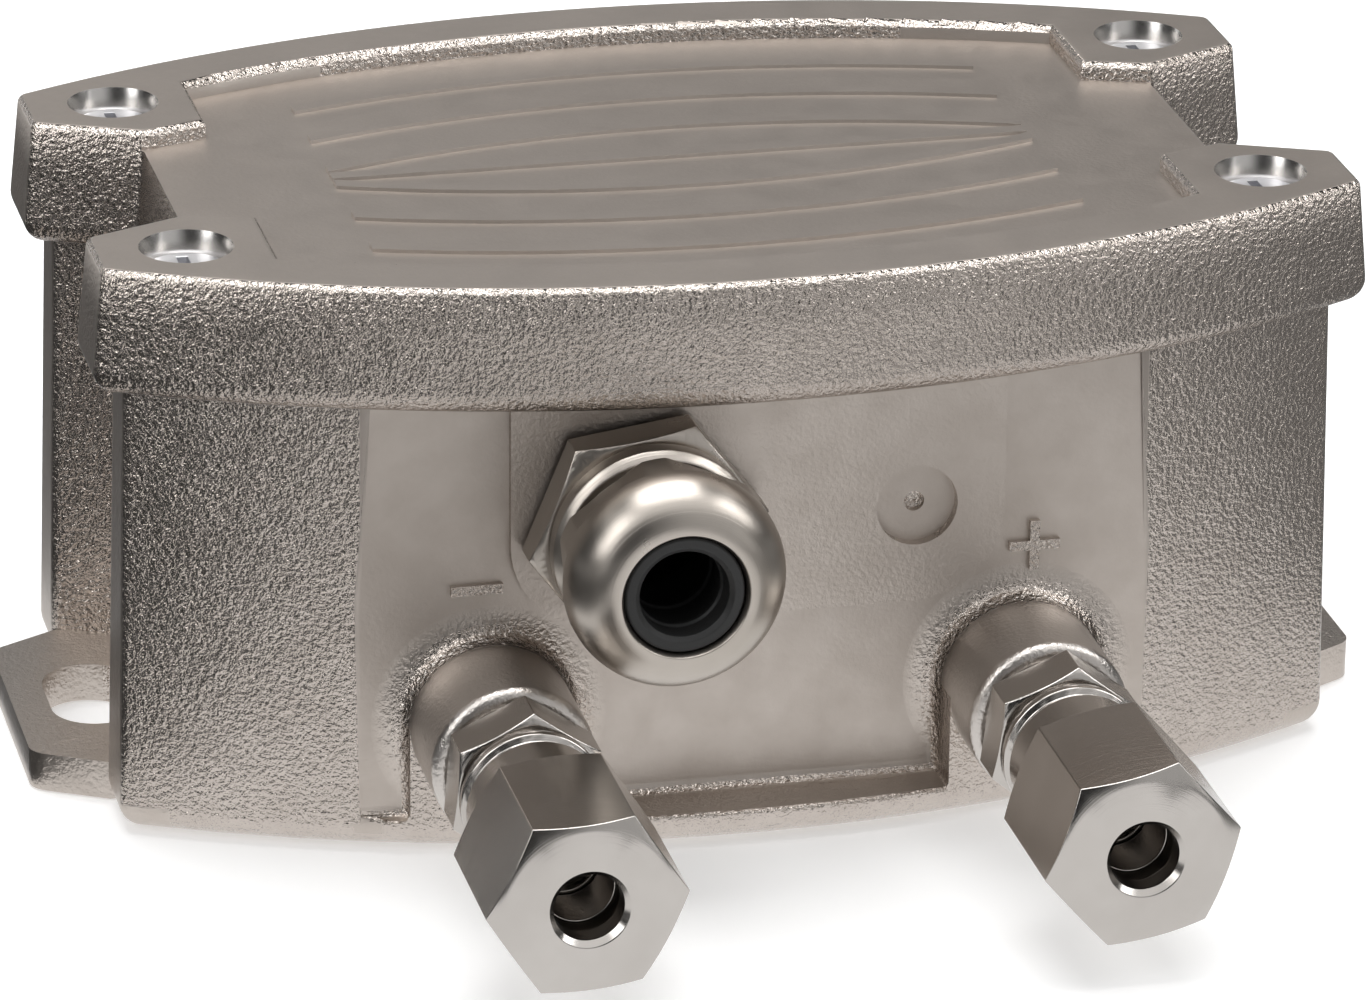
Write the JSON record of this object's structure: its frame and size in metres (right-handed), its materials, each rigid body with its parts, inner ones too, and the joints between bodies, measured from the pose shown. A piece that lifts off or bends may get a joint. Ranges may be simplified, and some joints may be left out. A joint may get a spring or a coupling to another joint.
{
  "type": "differential pressure transmitter",
  "caption": "Differential pressure transmitter: barrel-shaped cast case on slotted lugs, screwed lid, two cutting-ring tube ports, cable gland, and sensor, board and terminals inside.",
  "frame": {"origin": "centre of the flat mounting face", "axes": "+Z from the mounting face up to the lid, +X along the case towards the plus port, ports and cable gland point along -Y"},
  "size_m": [0.1386, 0.1212, 0.06],
  "materials": {
    "cast_housing": "nickel-plated die casting: satin on the flats, hammered cast skin on the sides",
    "seal_rubber": "matte black nitrile rubber",
    "zinc_screws": "bright zinc-plated steel",
    "fitting_steel": "turned and milled stainless steel",
    "gland_metal": "nickel-plated brass",
    "gland_plastic": "black polyamide",
    "hose_silicone": "translucent silicone rubber",
    "sensor_plastic": "white moulded thermoplastic",
    "board_laminate": "green solder resist on glass-epoxy laminate",
    "terminal_plastic": "green polyamide",
    "terminal_brass": "bare brass"
  },
  "bodies": {
    "base": {"housing_base": "cast_housing", "port_seal_minus": "fitting_steel", "port_seal_plus": "fitting_steel", "port_adapter_minus": "fitting_steel", "port_adapter_plus": "fitting_steel", "cutting_ring_minus": "fitting_steel", "cutting_ring_plus": "fitting_steel", "hose_minus": "hose_silicone", "hose_plus": "hose_silicone", "hose_clips": "zinc_screws", "gland_base_ring": "seal_rubber", "gland_body": "gland_metal", "gland_seal": "seal_rubber", "gland_claw": "gland_plastic", "pressure_sensor": "sensor_plastic", "circuit_board": "board_laminate", "board_screws": "zinc_screws", "terminal_block": "terminal_plastic", "terminal_screws": "zinc_screws", "earth_clamp": "terminal_brass", "earth_screw": "terminal_brass"},
    "lid": {"lid": "cast_housing", "lid_gasket": "seal_rubber"},
    "screw_front_left": {"lid_screw_front_left": "zinc_screws"},
    "screw_front_right": {"lid_screw_front_right": "zinc_screws"},
    "screw_rear_left": {"lid_screw_rear_left": "zinc_screws"},
    "screw_rear_right": {"lid_screw_rear_right": "zinc_screws"},
    "nut_minus": {"union_nut_minus": "fitting_steel"},
    "nut_plus": {"union_nut_plus": "fitting_steel"},
    "dome_nut": {"gland_dome_nut": "gland_metal"}
  },
  "joints": [
    {"name": "lid_lift", "type": "slide", "parent": "base", "child": "lid", "axis": [0, 0, 1], "range_m": [0, 0.06]},
    {"name": "screw_turn_front_left", "type": "hinge", "parent": "lid", "child": "screw_front_left", "pos_m": [-0.0544, -0.02122, 0.054], "axis": [0, 0, 1], "continuous": true},
    {"name": "screw_turn_front_right", "type": "hinge", "parent": "lid", "child": "screw_front_right", "pos_m": [0.0544, -0.02122, 0.054], "axis": [0, 0, 1], "continuous": true},
    {"name": "screw_turn_rear_left", "type": "hinge", "parent": "lid", "child": "screw_rear_left", "pos_m": [-0.0544, 0.02122, 0.054], "axis": [0, 0, 1], "continuous": true},
    {"name": "screw_turn_rear_right", "type": "hinge", "parent": "lid", "child": "screw_rear_right", "pos_m": [0.0544, 0.02122, 0.054], "axis": [0, 0, 1], "continuous": true},
    {"name": "nut_turn_minus", "type": "hinge", "parent": "base", "child": "nut_minus", "pos_m": [-0.027, -0.0706, 0.0132], "axis": [0, -1, 0], "continuous": true},
    {"name": "nut_turn_plus", "type": "hinge", "parent": "base", "child": "nut_plus", "pos_m": [0.027, -0.0706, 0.0132], "axis": [0, -1, 0], "continuous": true},
    {"name": "dome_nut_turn", "type": "hinge", "parent": "base", "child": "dome_nut", "pos_m": [-0.0121, -0.0493, 0.0331], "axis": [0, -1, 0], "continuous": true}
  ]
}
